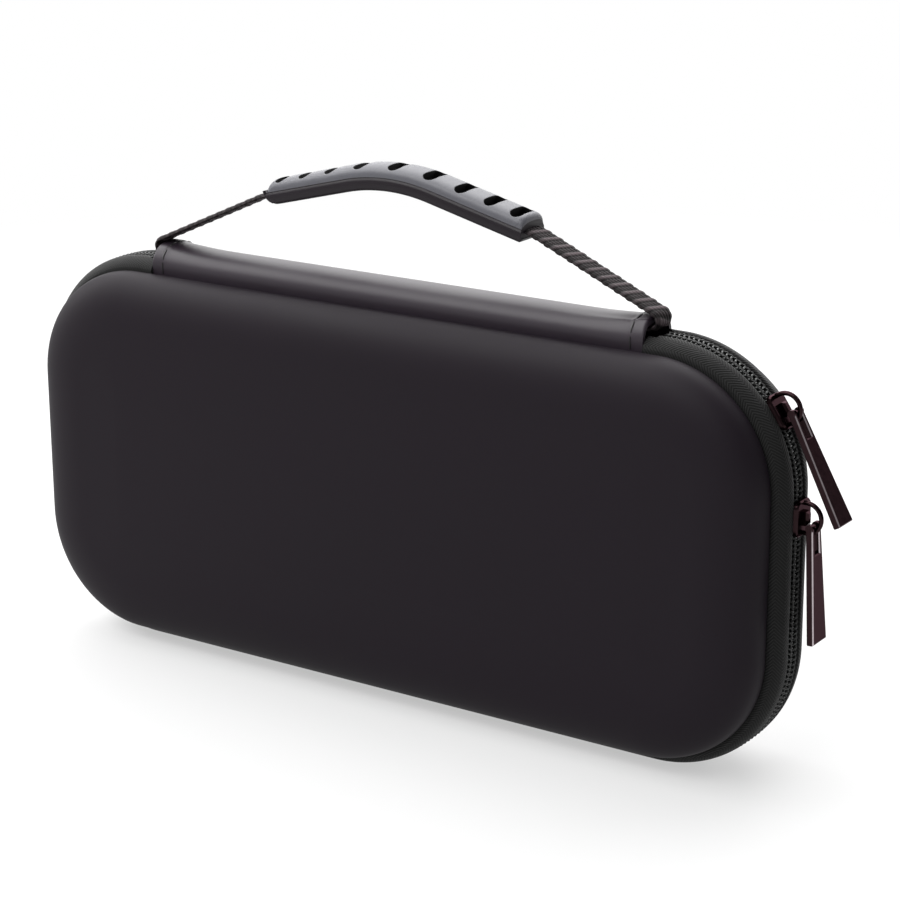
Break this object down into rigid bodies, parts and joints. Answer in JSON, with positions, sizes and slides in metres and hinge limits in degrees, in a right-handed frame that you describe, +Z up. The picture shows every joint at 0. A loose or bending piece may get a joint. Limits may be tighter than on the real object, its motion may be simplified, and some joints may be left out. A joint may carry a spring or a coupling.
{
  "type": "portable game console case",
  "caption": "Zipped clamshell case with moulded shells, sewn spine, webbing carry handle with moulded grip, two zip sliders with pulls, padded bed, strap and mesh pocket inside.",
  "frame": {"origin": "on the floor, midway along the bottom edge of the zip, in the middle plane between the shells", "axes": "+X to the side with the parked sliders, -Y to the front shell, +Z up to the handle"},
  "size_m": [0.2717, 0.042, 0.1595],
  "materials": {
    "shell_leather": "smooth coated leather cloth moulded on foam, soft matt sheen",
    "spine_leather": "smooth coated leather cloth, semi-matt",
    "zip_tape": "herringbone woven tape",
    "zip_coil": "wound nylon monofilament",
    "webbing": "coarse woven webbing",
    "grip_rubber": "moulded soft rubber, satin",
    "gunmetal": "die-cast zinc, dark bright plating",
    "binding": "ribbed binding tape",
    "pad_velour": "short velour on foam",
    "elastic": "ribbed woven elastic",
    "hook_tape": "hook tape",
    "mesh": "knitted net"
  },
  "bodies": {
    "rear_half": {"rear_shell": "shell_leather", "rear_zip_tape": "zip_tape", "rear_zip_coil": "zip_coil", "rear_rim_binding": "binding", "spine_panel": "spine_leather", "console_pad": "pad_velour", "console_strap_lower": "elastic", "console_strap_upper": "elastic", "strap_patch": "hook_tape"},
    "front_half": {"front_shell": "shell_leather", "front_zip_tape": "zip_tape", "front_zip_coil": "zip_coil", "front_rim_binding": "binding", "mesh_pocket": "mesh", "mesh_pocket_edge": "binding", "mesh_pocket_hem": "elastic"},
    "handle": {"handle_webbing": "webbing", "handle_grip": "grip_rubber"},
    "upper_slider": {"upper_slider": "gunmetal"},
    "upper_pull": {"upper_pull": "gunmetal"},
    "lower_slider": {"lower_slider": "gunmetal"},
    "lower_pull": {"lower_pull": "gunmetal"}
  },
  "joints": [
    {"name": "lid_hinge", "type": "hinge", "parent": "rear_half", "child": "front_half", "pos_m": [0, 0, 0.1258], "axis": [-1, 0, 0], "range_deg": [0, 165], "deforming": ["spine_panel"]},
    {"name": "handle_turn", "type": "hinge", "parent": "rear_half", "child": "handle", "pos_m": [0, 0, 0.1258], "axis": [-1, 0, 0], "range_deg": [0, 82.5]},
    {"name": "upper_slider_run", "type": "hinge", "parent": "rear_half", "child": "upper_slider", "pos_m": [0.0903, 0, 0.0833], "axis": [0, -1, 0], "range_deg": [0, 30]},
    {"name": "upper_pull_swing", "type": "hinge", "parent": "upper_slider", "child": "upper_pull", "pos_m": [0.12693, 0, 0.10593], "axis": [0, -1, 0], "range_deg": [-4, 90]},
    {"name": "lower_slider_run", "type": "slide", "parent": "rear_half", "child": "lower_slider", "axis": [0, 0, 1], "range_m": [-0.033, 0]},
    {"name": "lower_pull_swing", "type": "hinge", "parent": "lower_slider", "child": "lower_pull", "pos_m": [0.1333, 0, 0.0754], "axis": [0, -1, 0], "range_deg": [-6, 45]}
  ],
  "couplings": [
    {"joint": "handle_turn", "follows": "lid_hinge", "ratio": 0.5}
  ]
}
